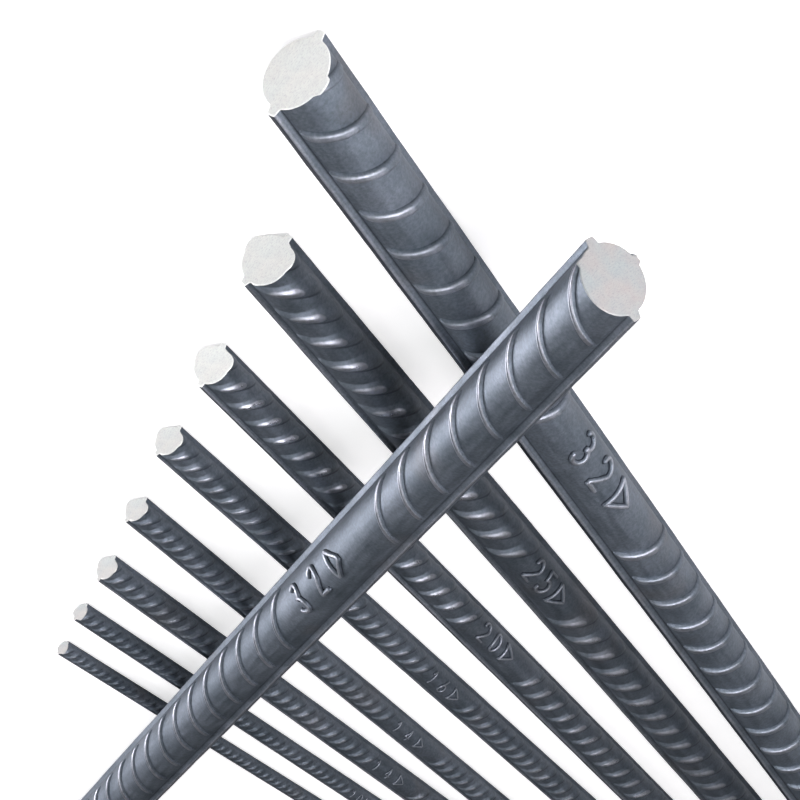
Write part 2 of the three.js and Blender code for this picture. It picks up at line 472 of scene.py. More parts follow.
@dataclass
class RibbedBar:
    """One bar: its section, its lie, its rows of transverse ribs and its rolled number.

    node is the solid that it stands for. end, heading, roll and lean repeat the bar's lie: the near end's
    place on the ground, the heading and the roll in degrees, and the near cut's lean sideways and upwards
    in degrees.

    pitch is the step from rib to rib, first the place of a rib in the middle of the marked row, and sweep
    how far a rib runs back along the bar for each degree round it. row_shift is how far the other row's
    ribs lie further on, in pitches. bare is the stretch of the marked row without ribs, which holds the
    number. rib_start and rib_stop are where the ribs begin and end, in degrees from the upper
    longitudinal rib. rib_thin is how much lower they are where they begin and rib_tail where they end.
    rib_slim narrows them, and blunt is the power that makes their ends steep.

    tone brightens or darkens the scale, and cut_tone the saw cuts; the latter is painted shade, which makes
    some cuts darker than others. The next four are degrees from the upper longitudinal rib. near_line and
    far_line are where the painted shade lines at a rib's near and far foot begin, are full, begin to fade and
    are gone. split is where the groove along a rib's crest begins and is full. rub_and_highlight_span is
    where the crest begins to get the rubbed colour, which is partly wear and partly painted highlight, gets
    it fully, begins to get less and no longer gets it. rubbed_and_highlit is how much of it the crest gets,
    and flank_power, below 1, lets that reach down its flanks.

    crisp_below tells whether the lower longitudinal rib has kept its corners. long_rib_foot_shade is how dark
    the painted shade line along a longitudinal rib's foot is, top_shade how dark the painted shade on its top
    is, flank_rub_and_highlight how far the upper and the lower one's flanks get the rubbed colour, partly
    wear and partly painted highlight, and edge_rub_and_highlight how much further their corners get it.
    """

    node: str
    size: BarSize
    end: tuple[float, float]
    heading: float
    roll: float
    lean: tuple[float, float]
    pitch: float
    first: float
    sweep: float
    bare: tuple[float, float]
    number: RolledNumber
    seed: int
    tone: float = 1.0
    marked_row: Row = Row.ANTICLOCKWISE
    row_shift: float = 0.5
    rib_start: float = 14.0
    rib_stop: float = 160.0
    rib_thin: float = 0.0
    rib_tail: float = 0.0
    rib_slim: float = 1.0
    blunt: float = 4.0
    # The fields from here on set where each bar gets painted shade and the rubbed colour, which is partly
    # wear and partly painted highlight.
    near_line: tuple[float, float, float, float] = (176.0, 177.0, 178.0, 179.0)
    far_line: tuple[float, float, float, float] = (58.0, 75.0, 122.0, 145.0)
    split: tuple[float, float] = (178.0, 179.0)
    rub_and_highlight_span: tuple[float, float, float, float] = (38.0, 56.0, 92.0, 112.0)
    flank_power: float = 1.0
    crisp_below: bool = False
    long_rib_foot_shade: float = 0.3
    top_shade: float = 0.9
    flank_rub_and_highlight: tuple[float, float] = (0.95, 0.4)
    edge_rub_and_highlight: tuple[float, float] = (0.1, 0.1)
    rubbed_and_highlit: float = 1.0
    cut_tone: float = 1.0
    origin: Array = field(default_factory=lambda: np.zeros(3))
    axes: Array = field(default_factory=lambda: np.eye(3))

    @property
    def section(self) -> RolledSection:
        """The bar's rolled section."""
        return self.size.value

    @property
    def facing(self) -> float:
        """The upper longitudinal rib's direction in the section, in radians from the left towards the top."""
        return float(np.radians(90 + self.roll))

    def lay(self, layout: Array) -> None:
        """Lays the bar on the ground: its axis is as high as its standing line is deep.

        Args:
            layout: where the layout's own origin is.
        """
        turn = np.radians(self.heading)
        run = np.array([np.cos(turn), np.sin(turn), 0.0])
        self.set_axes(run)
        below = self.section.standing_line(self.roll)[0]
        self.origin = layout + [self.end[0], self.end[1], below]

    def set_axes(self, run: Array) -> None:
        """Sets the bar's own axes from its direction: along the bar, to the left of it, and up from both."""
        left = np.array([-run[1], run[0], 0.0])
        left /= np.linalg.norm(left)
        self.axes = np.vstack((run, left, np.cross(run, left)))

    def place(self, along: Array, section_points: Array) -> Array:
        """Places points given by their run along the bar and their place in its section.

        Args:
            along: the run from the near end.
            section_points: to the left and up, in the last axis.

        Returns:
            The points in the part's frame: the origin plus each number times its own axis.
        """
        local = np.concatenate((along[..., None], section_points), axis=-1)
        return self.origin + local @ self.axes

    def arch(self, psi: Array) -> Array:
        """Gives a crescent's shape round the bar.

        With t from -1 where the rib begins to 1 where it ends it is 1 - |t|^blunt, lowered by rib_thin at
        its beginning and less and less towards its end, and by rib_tail past TAIL_SPAN. Outside it is 0.
        """
        share = np.clip((np.abs(psi) - self.rib_start) / (self.rib_stop - self.rib_start), 0.0, 1.0)
        low = np.interp(np.abs(psi), TAIL_SPAN, (0.0, self.rib_tail))
        return (1 - np.abs(2 * share - 1) ** self.blunt) * (1 - self.rib_thin * (1 - share)) * (1 - low)

    def half_width(self, psi: Array) -> Array:
        """Gives half a rib's width along the bar, which flares away from the upper longitudinal rib."""
        section = self.section
        flared = 1 + section.flare * (np.clip(np.abs(psi), *FLARE_SPAN) - ROW_MIDDLE) / FLARE_STEP
        full = np.minimum(1.0, WIDTH_GAIN * self.arch(psi))
        return self.rib_slim * section.cross_foot / 2 * flared * (END_WIDTH + (1 - END_WIDTH) * full)

    def drift(self, psi: Array) -> Array:
        """Gives how far along the bar the ribs lie from their row's middle.

        In a row it falls by sweep for each degree round the bar. Between the rows it is carried straight
        over from one row to the other, so that the surface's lines close.

        Args:
            psi: degrees round the bar from the upper longitudinal rib, from -180 to 180.

        Returns:
            The run along the bar.
        """
        places = np.array([-self.rib_stop, -self.rib_start, self.rib_start, self.rib_stop])
        side = np.sign(places)
        offset = np.where(side == self.marked_row.value, 0.0, self.row_shift * self.pitch)
        values = offset - self.sweep * (places - side * ROW_MIDDLE)
        lowest = (values[0] + values[-1]) / 2
        return np.interp(psi, np.array([-180.0, *places, 180.0]), np.array([lowest, *values, lowest]))

    def numbers(self) -> Array:
        """Gives the numbers of all ribs that can touch the bar."""
        spare = 90 * self.sweep + self.pitch
        low = int(np.floor((-spare - self.first) / self.pitch)) - 1
        high = int(np.ceil((BAR_LENGTH + spare - self.first) / self.pitch)) + 1
        return np.arange(low, high + 1)

    def relief(self, along: Array, psi: Array) -> tuple[Array, Array, Array]:
        """Works out the transverse ribs over the core.

        A place's rib is the nearest one along the bar. With q the distance from its middle in half
        widths, the height is the full height times the arch times 1 - |q|^c to the power of softness,
        with the curve c of the flank that the place is on. Where the crest is split it is also lowered by
        SEAM_DEPTH times exp(-(q / SEAM_WIDTH)^2).

        Args:
            along: the run from the near end.
            psi: degrees round the bar from the upper longitudinal rib.

        Returns:
            The height over the core, how much rubbed colour the place gets, partly wear and partly painted
            highlight, and how dark its painted shade is, both from 0 to 1.
        """
        rng = np.random.default_rng(self.seed)
        numbers = self.numbers()
        sizes = 1 + HEIGHT_SPREAD * rng.standard_normal((2, len(numbers)))
        row = (psi > 0).astype(int)
        run = (along - self.first - self.drift(psi)) / self.pitch
        nearest = np.clip(np.rint(run).astype(int), numbers[0], numbers[-1])
        off = (run - nearest) * self.pitch
        width = self.half_width(psi) * np.where(off > 0, self.section.far_share, 1.0)
        q = off / width
        marked = np.sign(psi) == self.marked_row.value
        middle = self.first + nearest * self.pitch
        gone = marked & (middle > self.bare[0]) & (middle < self.bare[1])
        arch = np.where(gone, 0.0, self.arch(psi))
        size = sizes[row, nearest - numbers[0]]
        near_curve, far_curve = self.section.curves
        profile = np.clip(1 - np.abs(q) ** np.where(q > 0, far_curve, near_curve), 0.0, 1.0)
        parted = arch * np.interp(np.abs(psi), self.split, (0.0, 1.0))
        seam = parted * np.exp(-((q / SEAM_WIDTH) ** 2))
        shape = profile**self.section.softness
        height = self.section.cross_rib * size * arch * shape * (1 - SEAM_DEPTH * seam)
        kind = 0 if self.section.crisp else 1
        # Painted shade: a dark line just outside each rib's foot, faded in and out round the bar.
        outside = np.where((q > 0) | self.section.crisp, LINE_OUTSIDE, 0.0)
        away = ((np.abs(q) - 1) * width / self.section.core - outside) / LINE_WIDTH[kind]
        near_line_shade, far_line_shade = (
            np.interp(np.abs(psi), line, LINE_FADE) for line in (self.near_line, self.far_line)
        )
        foot_line_shade = np.where(q > 0, far_line_shade, near_line_shade)
        foot = np.clip(arch * HIGHLIGHT_AND_SHADE_GAIN, 0.0, 1.0) * np.exp(-(away**2)) * foot_line_shade
        # Painted highlight: bright lines beside a split crest's groove. With the rib's height they give the
        # rubbed colour, partly wear and partly painted highlight, kept to a stretch round the bar.
        edge = parted * np.exp(-(((np.abs(q) - EDGE_PLACE) / EDGE_WIDTH) ** 2))
        risen = (height / self.section.cross_rib) ** self.flank_power
        rubbed_and_highlit = np.maximum(risen, edge) * np.interp(np.abs(psi), self.rub_and_highlight_span, CREST_RUB_AND_HIGHLIGHT)
        # The groove along a split crest gets less rubbed colour, and painted shade.
        return height, rubbed_and_highlit * (1 - SEAM_DULL * seam), np.maximum(foot, SEAM_SHADE[kind] * seam)

    def stations(self, psi: Array) -> tuple[Array, Array]:
        """Lays lines round the bar that follow the ribs: those across each rib, and those between two.

        Between soft ribs there are three lines. Crisp ones lie further apart and have a fourth half way.

        Args:
            psi: degrees round the bar of each column.

        Returns:
            The run along the bar, one row for each line and one column for each angle, and for each line
            the number of the rib foot that it follows, or -1.
        """
        numbers = self.numbers()
        middle = self.first + numbers[:, None] * self.pitch + self.drift(psi)[None, :]
        width = np.broadcast_to(self.half_width(psi), middle.shape)
        across = np.array(self.section.across)
        far = self.section.far_share
        steps = np.where(across > 0, far * across, across)
        on_rib = middle[:, None, :] + steps[None, :, None] * width[:, None, :]
        rim = RIM * self.section.core
        low = middle + far * width + rim
        high = middle + self.pitch - width - rim
        halfway = [(low + high + rim) / 2] if self.section.crisp else []
        between = np.stack([low, low + rim, *halfway, high], axis=1)
        lines = np.concatenate((on_rib, between), axis=1)
        feet = np.full(lines.shape[:2], -1)
        feet[:, 0] = 2 * np.arange(len(numbers))
        feet[:, len(across) - 1] = 2 * np.arange(len(numbers)) + 1
        return lines.reshape(-1, len(psi)), feet.ravel()

    def long_rib_wear(self, along: Array) -> Array:
        """Gives the longitudinal ribs' slight unevenness along the bar, as a sum of slow waves."""
        rng = np.random.default_rng(self.seed + 50)
        lengths = np.array([211.0, 97.0, 43.0, 19.0, 7.3])
        phases = rng.uniform(0, 2 * np.pi, len(lengths))
        waves = np.sin(2 * np.pi * along[..., None] / lengths + phases)
        return waves @ np.array([0.3, 0.3, 0.25, 0.2, 0.15])

    def surface(self) -> Shell:
        """Builds the bar's whole closed surface as one grid.

        The grid's rows run from the middle of the near cut face out to its edge, over the broken edge,
        along the bar, and in to the middle of the far cut face. Its columns are the section's points. A
        point of the bar is the section's point pushed out by the relief and the unevenness, and lines
        that fall outside the cuts close up on them.

        Returns:
            The shell.
        """
        outline, breaks, groove = self.section.outline()
        lower = outline[:, 0] < 0
        if not self.crisp_below:
            breaks, groove = breaks & ~lower, groove * ~lower
        psi = np.degrees(np.arctan2(outline[:, 1], outline[:, 0]))
        reach = np.linalg.norm(outline, axis=1)
        angle = self.facing + np.radians(psi)
        out = np.column_stack((np.cos(angle), np.sin(angle)))
        lines, feet = self.stations(psi)
        near, far = self.cut(reach, psi, out)
        low, high = near + CUT_EDGE, far - CUT_EDGE
        first = np.maximum((lines <= low).sum(axis=0) - 1, 0)
        last = len(lines) - np.maximum((lines >= high).sum(axis=0), 1)
        along = np.clip(lines, low, high)
        height, rubbed_and_highlit, foot = self.relief(along, np.broadcast_to(psi, along.shape))
        proud = np.clip((reach - self.section.radius) / self.section.long_rib, 0.0, 1.0)
        uneven = UNEVENNESS * self.section.long_rib * proud * self.long_rib_wear(along)
        radius = self.above_ground(along, reach + height + uneven, out)
        side = self.place(along, radius[..., None] * out)
        caps = [self.cap(near_side, psi, reach, out) for near_side in (True, False)]
        points = np.concatenate((caps[0], side, caps[1][::-1]))
        rows, columns = points.shape[:2]
        ids = np.arange(rows * columns).reshape(rows, columns)
        ids[0], ids[-1] = ids[0, 0], ids[-1, 0]
        body = np.clip(np.arange(len(lines))[:, None], first, last) + len(caps[0])
        ids[len(caps[0]) : -len(caps[1])] = body * columns + np.arange(columns)
        # Rubbed colour, partly wear and partly painted highlight, on the ribs' crests and the longitudinal
        # ribs' flanks and corners. Painted shade at the ribs' feet and on the longitudinal ribs' tops.
        crest = np.zeros((rows, columns))
        painted_shade = np.zeros((rows, columns))
        inner = slice(len(caps[0]), rows - len(caps[1]))
        away = np.sign(psi) != self.marked_row.value
        # Painted shade on the longitudinal ribs' tops, away from the marked row and along their middles.
        top = proud > TOP_FROM
        shaded_top = top & (away | (np.abs(outline[:, 1]) < DARK_TOP * self.section.rib_top))
        # The longitudinal ribs' flanks and corners get the rubbed colour, partly wear and partly painted
        # highlight.
        flank, edge = (np.where(lower, pair[1], pair[0]) for pair in (self.flank_rub_and_highlight, self.edge_rub_and_highlight))
        flank = np.where(shaded_top, 0.0, np.clip(HIGHLIGHT_AND_SHADE_GAIN * proud, 0.0, 1.0) * flank + edge * top)
        crest[inner] = np.maximum(self.rubbed_and_highlit * rubbed_and_highlit, flank)
        painted_shade[inner] = np.maximum(foot, np.where(shaded_top, self.top_shade, self.long_rib_foot_shade * groove))
        crease = np.full((rows, columns), -1)
        crisp = (self.arch(psi) > 0.02) & self.section.crisp
        crease[inner] = np.where(crisp, np.where(feet >= 0, feet + 4, -1)[:, None], -1)
        crease[inner] = np.where(breaks, feet.max() + 5 + np.arange(columns), crease[inner])
        crease[len(caps[0]) - 1], crease[-len(caps[1])] = 0, 1
        crease[ids[len(caps[0])] // columns, np.arange(columns)] = 2
        crease[ids[-len(caps[1]) - 1] // columns, np.arange(columns)] = 3
        sides = np.linalg.norm(np.diff(outline, axis=0, append=outline[:1]), axis=1)
        around = np.concatenate(([0.0], np.cumsum(sides)))
        run = np.concatenate((np.zeros_like(caps[0][..., 0]), along, np.zeros_like(caps[1][..., 0])))
        return self.grid_shell(points, ids, run, around, crest, painted_shade, crease, len(caps[0]))

    def grid_shell(
        self,
        points: Array,
        ids: Array,
        run: Array,
        around: Array,
        crest: Array,
        painted_shade: Array,
        crease: Array,
        caps: int,
    ) -> Shell:
        """Turns the grid into triangles, and drops those that have closed up.

        Args:
            points: the grid's points.
            ids: the vertex that each place of the grid stands for.
            run: the run along the bar.
            around: the way round the section to each column and back to the first.
            crest: how much rubbed colour each point gets, partly wear and partly painted highlight.
                painted_shade: how dark the painted shade at each point is.
            painted_shade: how close to a rib's foot each point is.
            crease: the number of the crease that each point is on, or -1.
            caps: how many rows each cut face has.

        Returns:
            The shell.
        """
        rows, columns = ids.shape
        right = np.roll(ids, -1, axis=1)
        corner = np.stack((ids[:-1], right[:-1], right[1:], ids[1:]), axis=-1)
        centre = self.place(run * 0, np.zeros(run.shape + (2,)))
        flat = (points - centre) @ self.axes[1:].T
        strip = np.dstack((run, np.broadcast_to(around[:-1], run.shape)))
        wrapped = np.roll(strip, -1, axis=1)
        wrapped[:, -1, 1] = around[-1]
        is_cap = np.zeros(rows - 1, bool)
        is_cap[:caps] = is_cap[-caps:] = True
        turned = np.roll(flat, -1, axis=1)
        here = np.stack((strip[:-1], wrapped[:-1], wrapped[1:], strip[1:]), axis=2)
        there = np.stack((flat[:-1], turned[:-1], turned[1:], flat[1:]), axis=2)
        uv = np.where(is_cap[:, None, None, None], there, here)
        finish = np.broadcast_to(is_cap[:, None], corner.shape[:2]).astype(int)
        triangles = np.concatenate([corner[..., pick].reshape(-1, 3) for pick in ([0, 1, 2], [0, 2, 3])])
        uvs = np.concatenate([uv[:, :, pick].reshape(-1, 3, 2) for pick in ([0, 1, 2], [0, 2, 3])])
        finishes = np.concatenate((finish.ravel(), finish.ravel()))
        a, b, c = triangles.T
        whole = (a != b) & (b != c) & (c != a)
        used, renumbered = np.unique(triangles[whole], return_inverse=True)
        return Shell(
            points.reshape(-1, 3)[used],
            renumbered.reshape(-1, 3),
            uvs[whole].reshape(-1, 2),
            finishes[whole],
            crest.ravel()[used],
            painted_shade.ravel()[used],
            crease.ravel()[used],
        )

    def cut(self, reach: Array, psi: Array, out: Array) -> tuple[Array, Array]:
        """Finds where the two cuts meet the bar's surface.

        The near cut is the plane whose run grows by the tangents of its lean with each step left and up.
        The surface's own place there depends on the run, so it is worked out twice.

        Args:
            reach: the outline's distance from the axis.
            psi: degrees round the bar.
            out: the directions away from the axis.

        Returns:
            The run of the near and of the far cut, for each column.
        """
        slopes = out @ np.tan(np.radians(self.lean))
        near = reach * slopes
        for _ in range(2):
            near = (reach + self.relief(near, psi)[0]) * slopes
        return near, np.full(len(reach), BAR_LENGTH)

    def cap(self, near_side: bool, psi: Array, reach: Array, out: Array) -> Array:
        """Gives a cut face's rings: its middle, one ring, and the edge inside the broken corner."""
        run = self.cut(reach, psi, out)[0 if near_side else 1]
        edge = self.above_ground(run, reach + self.relief(run, psi)[0], out) - CUT_EDGE
        shares = np.array([0.0, CAP_RING, 1.0])[:, None]
        slopes = out @ np.tan(np.radians(self.lean)) if near_side else np.zeros(len(psi))
        base = 0.0 if near_side else BAR_LENGTH
        radius = shares * edge
        return self.place(base + radius * slopes, radius[..., None] * out)

    def above_ground(self, along: Array, radius: Array, out: Array) -> Array:
        """Shortens the radius where it would reach into the ground, on which the crests only rest."""
        bottom = self.place(along, radius[..., None] * out)[..., 2]
        fall = -(out @ self.axes[1:, 2])
        low = (bottom < 0) & (fall > LEAST_FALL)
        return radius + np.where(low, bottom / np.maximum(fall, LEAST_FALL), 0.0)

    def build(self, steel: Material, bright: Material) -> None:
        """Builds the dressed bar in place of its solid.

        Args:
            steel: the mill scale.
            bright: the saw cut.
        """
        shell = self.surface().joined(self.number.shell(self))
        obj = shell.to_object(self.node + "_rolled", [steel, bright])
        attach(obj, BODY)
        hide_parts(self.node)
        for label, value in (("tone", self.tone), ("cut_tone", self.cut_tone)):
            write_values(obj.data, label, np.full(len(obj.data.vertices), value))
        LOG.info("%s: %d triangles", obj.name, len(obj.data.polygons))


@dataclass
class LyingAcross(RibbedBar):
    """The bar that lies across the fanned ones, rolled over the other way.

    under is the bar that carries it. It stands on that bar's top line and, at its far end, on the ground.
    """

    under: RibbedBar | None = None

    @property
    def facing(self) -> float:
        """The upper longitudinal rib's direction, on the other side of the plumb line."""
        return float(np.radians(90 - self.roll))

    def lay(self, layout: Array) -> None:
        """Lays the bar over the one under it, with the slope of the rise over the length past the crossing.

        Args:
            layout: where the layout's own origin is.
        """
        below, aside = self.section.standing_line(self.roll)
        under_below, under_aside = self.under.section.standing_line(self.under.roll)
        turn = np.radians(self.heading)
        line_y = self.end[1] - aside * np.cos(turn)
        top_y = self.under.end[1] - under_aside
        overhang = (line_y - top_y) / -np.sin(turn)
        slope = np.arcsin((2 * under_below + CONTACT_GAP) / (BAR_LENGTH - overhang))
        flat = np.cos(slope)
        run = np.array([np.cos(turn) * flat, np.sin(turn) * flat, -np.sin(slope)])
        self.set_axes(run)
        self.origin = layout + [self.end[0], self.end[1], BAR_LENGTH * np.sin(slope) + below * flat]


class NodeSheet:
    """A material's or world's node tree, with short ways to add and link nodes."""

    def __init__(self, tree: bpy.types.NodeTree) -> None:
        """Starts on an empty tree."""
        self.tree = tree
        tree.nodes.clear()

    def add(self, kind: str, **settings: object) -> bpy.types.Node:
        """Adds a node and sets its own fields.

        Args:
            kind: the node's type name.
            settings: its fields and their values.

        Returns:
            The node.
        """
        node = self.tree.nodes.new(kind)
        for name, value in settings.items():
            setattr(node, name, value)
        return node

    def put(self, socket: Socket, value: object) -> None:
        """Links an output to a socket, or sets the socket's own value."""
        if isinstance(value, Socket):
            self.tree.links.new(value, socket)
        elif isinstance(value, tuple) and len(value) == 3 and socket.type == "RGBA":
            socket.default_value = (*value, 1.0)
        else:
            socket.default_value = value

    def wired(self, kind: str, **inputs: object) -> Socket:
        """Adds a node and fills its inputs.

        Args:
            kind: the node's type name.
            inputs: each input's value or link, by its name with _ for a space.

        Returns:
            The node's first output.
        """
        node = self.add(kind)
        for name, value in inputs.items():
            self.put(node.inputs[name.replace("_", " ")], value)
        return node.outputs[0]

    def close(self, kind: str, result: Socket) -> None:
        """Ends the tree in an output node."""
        self.put(self.add(kind).inputs[0], result)

    def maths(self, operation: str, *values: object) -> Socket:
        """Adds a maths node and returns its output."""
        node = self.add("ShaderNodeMath", operation=operation)
        for socket, value in zip(node.inputs, values):
            self.put(socket, value)
        return node.outputs[0]

    def times(self, first: object, second: object) -> Socket:
        """Multiplies two numbers."""
        return self.maths("MULTIPLY", first, second)

    def plus(self, first: object, second: object) -> Socket:
        """Adds two numbers."""
        return self.maths("ADD", first, second)

    def mix(self, share: object, low: object, high: object, blend: str = "MIX") -> Socket:
        """Mixes two colours.

        Args:
            share: how much of the second shows.
            low: the first colour.
            high: the second colour.
            blend: the way they mix.

        Returns:
            The mixed colour.
        """
        node = self.add("ShaderNodeMix", data_type="RGBA", blend_type=blend)
        for place, value in ((0, share), (6, low), (7, high)):
            self.put(node.inputs[place], value)
        return node.outputs[2]

    def between(self, share: Socket, low: object, high: object) -> Socket:
        """Mixes two numbers."""
        node = self.add("ShaderNodeMix", data_type="FLOAT")
        for place, value in ((0, share), (2, low), (3, high)):
            self.put(node.inputs[place], value)
        return node.outputs[0]

    def shaded(self, colour: Socket, tone: Socket) -> Socket:
        """Brightens or darkens a colour."""
        node = self.add("ShaderNodeVectorMath", operation="SCALE")
        self.put(node.inputs[0], colour)
        self.put(node.inputs["Scale"], tone)
        return node.outputs[0]

    def noise(self, place: Socket, scale: float, detail: float, rough: float = 0.5) -> Socket:
        """Adds a noise texture and returns its value, from 0 to 1."""
        return self.wired("ShaderNodeTexNoise", Vector=place, Scale=scale, Detail=detail, Roughness=rough)

    def stretched(self, place: Socket, scale: Triple) -> Socket:
        """Scales coordinates by a different number along each axis."""
        return self.wired("ShaderNodeMapping", Vector=place, Scale=scale)

    def window(
        self, value: object, low: float, high: float, to_low: float = 0.0, to_high: float = 1.0
    ) -> Socket:
        """Maps a value's range onto another one, and clips it there."""
        node = self.add("ShaderNodeMapRange", clamp=True)
        for socket, number in zip(node.inputs, (value, low, high, to_low, to_high)):
            self.put(socket, number)
        return node.outputs[0]

    def value_of(self, label: str) -> Socket:
        """Reads a number that the mesh carries at each vertex."""
        return self.add("ShaderNodeAttribute", attribute_name=label).outputs["Fac"]

    def rolled(self) -> Socket:
        """Reads the coordinates of the rolled surface, in metres."""
        return self.add("ShaderNodeUVMap", uv_map="rolled").outputs[0]


def new_material(name: str) -> tuple[Material, NodeSheet]:
    """Adds a material with an empty node tree."""
    material = bpy.data.materials.new(name)
    material.use_nodes = True
    return material, NodeSheet(material.node_tree)


@dataclass(frozen=True)
class MillScale:
    """Blue-grey oxide of hot-rolled steel, bright on the crests from wear and painted highlight, dark in the
    creases from painted shade.

    The first colours are how much the scale mirrors: where it is thick, where it is thin, where it is rubbed
    off and carries painted highlight, where it has a trace of rust, and in the creases at the ribs' feet,
    where it is painted shade and also marks small dark pits. dark_dapple and pale_dapple are what the fine
    mottling multiplies them by. Each pattern is a noise's scale, detail and roughness, and streak_stretch
    scales the rolled surface along and round the bar. crease_shade is how much of the crease colour shows as
    painted shade in a crease, gloss how much smoother the rubbed places are, and grain the bump's strength
    and depth.
    """

    thick: Triple = (0.099, 0.123, 0.147)
    thin: Triple = (0.166, 0.194, 0.228)
    rubbed_and_highlit: Triple = (0.575, 0.60, 0.665)
    rusty: Triple = (0.150, 0.142, 0.140)
    crease: Triple = (0.014, 0.015, 0.024)
    dark_dapple: Triple = (0.85, 0.87, 0.86)
    pale_dapple: Triple = (1.14, 1.12, 1.16)
    blotches: Triple = (38.0, 4.0, 0.55)
    streaks: Triple = (1.0, 4.0, 0.6)
    streak_stretch: Triple = (30.0, 330.0, 1.0)
    specks: Triple = (1900.0, 2.0, 0.6)
    dapples: Triple = (620.0, 2.0, 0.6)
    tints: Triple = (17.0, 3.0, 0.5)
    grains: Triple = (420.0, 4.0, 0.6)
    crease_shade: float = 0.92
    gloss: float = 0.32
    grain: tuple[float, float] = (0.3, 0.0002)
    metallic: float = 0.88
    roughness: float = 0.55

    def material(self) -> Material:
        """Builds the material: blotches, streaks along the bar, rubbed colour by height that is partly wear
        and partly painted highlight, painted shade in the creases, and fine grain in the bump.
        """
        material, sheet = new_material("mill_scale")
        place = sheet.add("ShaderNodeTexCoord").outputs["Object"]
        crest, foot, tone = (sheet.value_of(name) for name in ("crest", "foot", "tone"))
        blotch = sheet.noise(place, *self.blotches)
        streak = sheet.noise(sheet.stretched(sheet.rolled(), self.streak_stretch), *self.streaks)
        speck = sheet.noise(place, *self.specks)
        dapple = sheet.noise(place, *self.dapples)
        tint = sheet.noise(place, *self.tints)
        mottle = sheet.plus(sheet.times(blotch, 0.7), sheet.times(streak, 0.3))
        colour = sheet.mix(sheet.window(mottle, 0.34, 0.66), self.thick, self.thin)
        colour = sheet.mix(sheet.window(tint, 0.58, 0.75, 0.0, 0.5), colour, self.rusty)
        # Rubbed colour on the crests: partly wear, partly painted highlight.
        rub_and_highlight = sheet.times(sheet.window(crest, 0.74, 1.0), sheet.window(blotch, 0.35, 0.65, 0.35, 0.7))
        rub_and_highlight = sheet.plus(rub_and_highlight, sheet.window(crest, 1.0, 1.6, 0.0, 0.4))
        colour = sheet.mix(rub_and_highlight, colour, self.rubbed_and_highlit)
        colour = sheet.mix(sheet.window(speck, 0.6, 0.75, 0.0, 0.35), colour, self.crease)
        dappled = sheet.mix(sheet.window(dapple, 0.35, 0.65), self.dark_dapple, self.pale_dapple)
        colour = sheet.shaded(sheet.mix(1.0, colour, dappled, "MULTIPLY"), tone)
        # Painted shade at the ribs' feet, along the longitudinal ribs' feet and on their tops.
        colour = sheet.mix(sheet.times(foot, self.crease_shade), colour, self.crease)
        rough = sheet.plus(sheet.window(streak, 0.3, 0.7, -0.05, 0.07), self.roughness)
        rough = sheet.maths("SUBTRACT", rough, sheet.times(rub_and_highlight, self.gloss))
        grain = sheet.plus(sheet.times(speck, 0.5), sheet.times(streak, 0.3))
        grain = sheet.plus(grain, sheet.noise(place, *self.grains))
        strength, depth = self.grain
        shader = sheet.wired(
            "ShaderNodeBsdfPrincipled",
            Base_Color=colour,
            Metallic=self.metallic,
            Roughness=rough,
            Normal=sheet.wired("ShaderNodeBump", Height=grain, Strength=strength, Distance=depth),
        )
        sheet.close("ShaderNodeOutputMaterial", shader)
        return material


@dataclass(frozen=True)
class SawCut:
    """Bright steel as the cold saw leaves it, with faint slanting strokes.

    bright, stroke and pit are its colours between the saw's strokes, on them and in small pits. warm and
    cool tint dark cuts in patches. turn is the strokes' slant in radians. Each pattern is a noise's
    scale, detail and roughness, on the cut face as the stretch of the same name scales it. grain is the
    bump's strength and depth.
    """

    bright: Triple = (0.92, 0.953, 0.907)
    stroke: Triple = (0.80, 0.83, 0.815)
    pit: Triple = (0.58, 0.58, 0.62)
    warm: Triple = (1.06, 0.975, 0.99)
    cool: Triple = (0.93, 0.995, 1.05)
    turn: float = 0.9
    strokes: Triple = (1.0, 4.0, 0.6)
    stroke_stretch: Triple = (300.0, 1300.0, 1.0)
    specks: Triple = (1.0, 2.0, 0.7)
    speck_stretch: Triple = (900.0, 1900.0, 1.0)
    clouds: Triple = (230.0, 4.0, 0.6)
    casts: Triple = (75.0, 2.0, 0.5)
    grain: tuple[float, float] = (0.3, 0.0001)
    metallic: float = 0.2
    roughness: float = 0.42

    def material(self) -> Material:
        """Builds the material: strokes, clouds and pits over the cut face, in colour, gloss and bump."""
        material, sheet = new_material("saw_cut")
        face = sheet.rolled()
        # Each bar's cut tone scales its cut's colour: painted shade that makes some cuts darker than others.
        tone = sheet.value_of("cut_tone")
        turned = sheet.wired("ShaderNodeMapping", Vector=face, Rotation=(0.0, 0.0, self.turn))
        strokes = sheet.noise(sheet.stretched(turned, self.stroke_stretch), *self.strokes)
        cloud = sheet.noise(face, *self.clouds)
        speck = sheet.noise(sheet.stretched(turned, self.speck_stretch), *self.specks)
        cast = sheet.window(sheet.noise(face, *self.casts), 0.35, 0.65)
        line = sheet.window(strokes, 0.42, 0.7)
        colour = sheet.mix(sheet.times(line, 0.45), self.bright, self.stroke)
        colour = sheet.mix(sheet.window(cloud, 0.42, 0.7, 0.0, 0.6), colour, self.stroke)
        colour = sheet.mix(sheet.window(speck, 0.5, 0.75, 0.0, 0.7), colour, self.pit)
        depth = sheet.window(tone, 0.45, 0.9, 1.0, 0.2)
        colour = sheet.mix(depth, colour, sheet.mix(cast, self.warm, self.cool), "MULTIPLY")
        strength, deep = self.grain
        shader = sheet.wired(
            "ShaderNodeBsdfPrincipled",
            Base_Color=sheet.shaded(colour, tone),
            Metallic=self.metallic,
            Roughness=sheet.plus(sheet.times(line, 0.1), self.roughness),
            Normal=sheet.wired("ShaderNodeBump", Height=strokes, Strength=strength, Distance=deep),
        )
        sheet.close("ShaderNodeOutputMaterial", shader)
        return material


